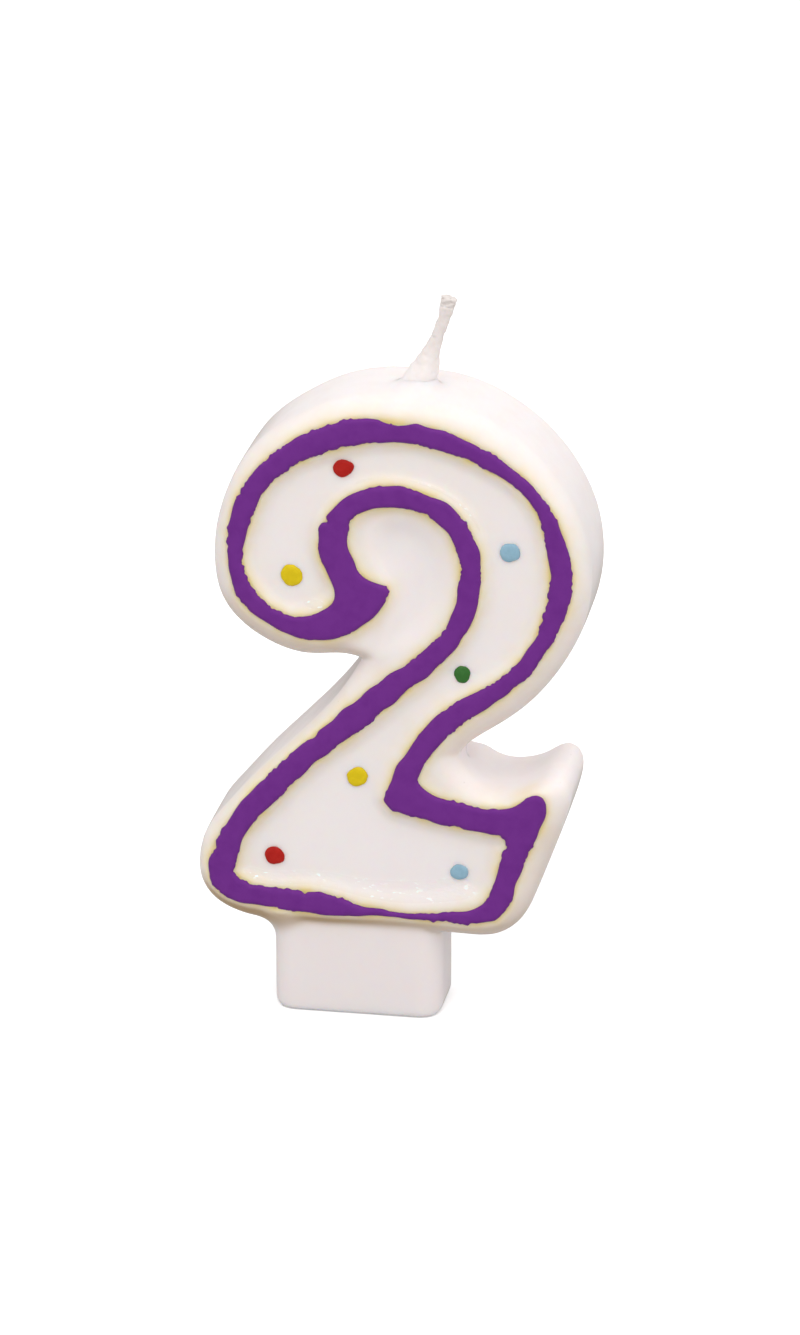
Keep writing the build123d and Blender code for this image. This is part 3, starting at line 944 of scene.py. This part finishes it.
# The table and the studio. A pale matt sheet under the candle, an even white room, a large
# soft light above and in front, and the camera a little to the right and above.
TABLE_REACH = 3.0
floor_mesh = bpy.data.meshes.new("pale_table")
corners = [(u * TABLE_REACH, v * TABLE_REACH, 0) for u, v in ((-1, -1), (1, -1), (1, 1), (-1, 1))]
floor_mesh.from_pydata(corners, [], [(0, 1, 2, 3)])
floor = bpy.data.objects.new("pale_table", floor_mesh)
bpy.context.scene.collection.objects.link(floor)
paper = bpy.data.materials.new("pale_paper")
paper.use_nodes = True
tree = paper.node_tree
grain = put(tree, "ShaderNodeTexNoise", scale=900.0, detail=3.0)
tone = mix_colours(tree, grain.outputs["Fac"], (0.93, 0.93, 0.93, 1), (0.97, 0.97, 0.97, 1))
shader = tree.nodes["Principled BSDF"]
shader.inputs["Roughness"].default_value = 0.9
seen = put(tree, "ShaderNodeLightPath")
tone = mix_colours(tree, seen.outputs["Is Camera Ray"], (0.55, 0.55, 0.55, 1), tone)
tree.links.new(tone, shader.inputs["Base Color"])
glow = mix_colours(tree, seen.outputs["Is Camera Ray"], (0, 0, 0, 1), (1, 1, 1, 1))
tree.links.new(glow, shader.inputs["Emission Color"])
shader.inputs["Emission Strength"].default_value = 0.3
floor_mesh.materials.append(paper)

ROOM_LEVEL, ROOM_FRONT, ROOM_ABOVE, ROOM_RIGHT = 0.87, 0.12, 0.2, 0.12
world = bpy.data.worlds.new("white_room")
world.use_nodes = True
tree = world.node_tree
room = put(tree, "ShaderNodeTexCoord")
split = put(tree, "ShaderNodeSeparateXYZ")
tree.links.new(room.outputs["Generated"], split.inputs[0])
from_front = worked_out(tree, "MULTIPLY", split.outputs["Y"], -ROOM_FRONT)
from_above = worked_out(tree, "MULTIPLY", split.outputs["Z"], ROOM_ABOVE)
from_right = worked_out(tree, "MULTIPLY", split.outputs["X"], ROOM_RIGHT)
level = ROOM_LEVEL
for brighter in (from_front, from_above, from_right):
    level = worked_out(tree, "ADD", level, brighter)
tree.links.new(level, tree.nodes["Background"].inputs["Strength"])
tree.nodes["Background"].inputs["Color"].default_value = (1, 1, 1, 1)
bpy.context.scene.world = world


def soft_light(name, place, size, power, aim):
    """A square soft light aimed at a point."""
    light = bpy.data.lights.new(name, "AREA")
    light.size = size
    light.energy = power
    holder = bpy.data.objects.new(name, light)
    holder.location = place
    holder.rotation_euler = (Vector(aim) - Vector(place)).to_track_quat("-Z", "Y").to_euler()
    bpy.context.scene.collection.objects.link(holder)


soft_light("key_light", (0.02, -0.26, 0.5), 0.2, 0.45, (0.004, 0, 0.05))

VIEW_AZIMUTH, VIEW_ELEVATION = math.radians(10), math.radians(21)
VIEW_DISTANCE = 0.8
VIEW_TARGET = Vector((0.00435, 0.0, 0.04129))
camera_data = bpy.data.cameras.new("portrait")
camera_data.lens = 188.8
camera_data.sensor_width = 36
camera_data.clip_start = 0.01
camera = bpy.data.objects.new("portrait", camera_data)
away = Vector((math.sin(VIEW_AZIMUTH) * math.cos(VIEW_ELEVATION),
               -math.cos(VIEW_AZIMUTH) * math.cos(VIEW_ELEVATION), math.sin(VIEW_ELEVATION)))
camera.location = VIEW_TARGET + away * VIEW_DISTANCE
camera.rotation_euler = (-away).to_track_quat("-Z", "Y").to_euler()
bpy.context.scene.collection.objects.link(camera)
bpy.context.scene.camera = camera
bpy.context.scene.view_settings.view_transform = "Standard"
